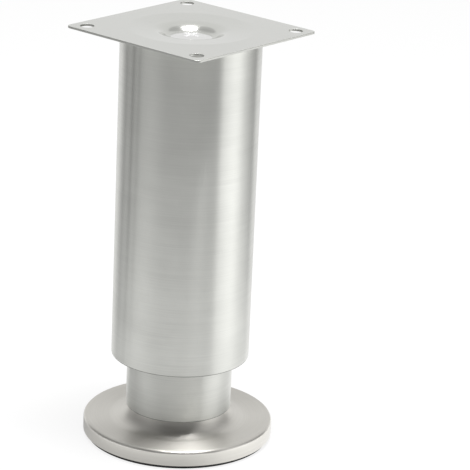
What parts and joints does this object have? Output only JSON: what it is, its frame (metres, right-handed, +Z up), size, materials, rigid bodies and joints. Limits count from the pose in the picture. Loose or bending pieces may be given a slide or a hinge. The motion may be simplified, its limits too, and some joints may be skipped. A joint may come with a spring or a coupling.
{
  "type": "adjustable bed support leg",
  "caption": "Round brushed stainless bed leg with a square screw-on plate on top and a wide stamped foot that screws in and out of the tube to set its height.",
  "frame": {"origin": "middle of the foot pad's underside, with the foot screwed out as far as it goes", "axes": "+Z up along the tube, X and Y along the sides of the plate"},
  "size_m": [0.069, 0.069, 0.1527],
  "materials": {
    "brushed_tube": "fine brushing round the tube",
    "stamped_sheet": "satin pressed sheet",
    "turned_disc": "fine brushing round the disc",
    "bright_screw": "bright plated",
    "plated_steel": "dull zinc plating",
    "black_nylon": "moulded, satin",
    "black_pad": "matt"
  },
  "bodies": {
    "leg": {"top_plate": "stamped_sheet", "plate_screw": "bright_screw", "top_cup": "plated_steel", "plate_nut": "plated_steel", "outer_tube": "brushed_tube", "stem_cup": "plated_steel", "stem_nut": "plated_steel", "mouth_bush": "black_nylon"},
    "guide": {"guide_ring": "black_nylon"},
    "foot": {"neck_tube": "brushed_tube", "neck_plug": "black_nylon", "clamp_washer": "plated_steel", "clamp_nut": "plated_steel", "stem": "plated_steel", "foot_disc": "turned_disc", "foot_core": "black_nylon", "foot_pad": "black_pad"}
  },
  "joints": [
    {"name": "foot_travel", "type": "slide", "parent": "leg", "child": "guide", "axis": [0, 0, 1], "range_m": [0, 0.015]},
    {"name": "foot_turn", "type": "hinge", "parent": "guide", "child": "foot", "pos_m": [0, 0, 0], "axis": [0, 0, 1], "range_deg": [0, 3600]}
  ],
  "couplings": [
    {"joint": "foot_travel", "follows": "foot_turn", "m_per_rad": 0.00023873}
  ]
}
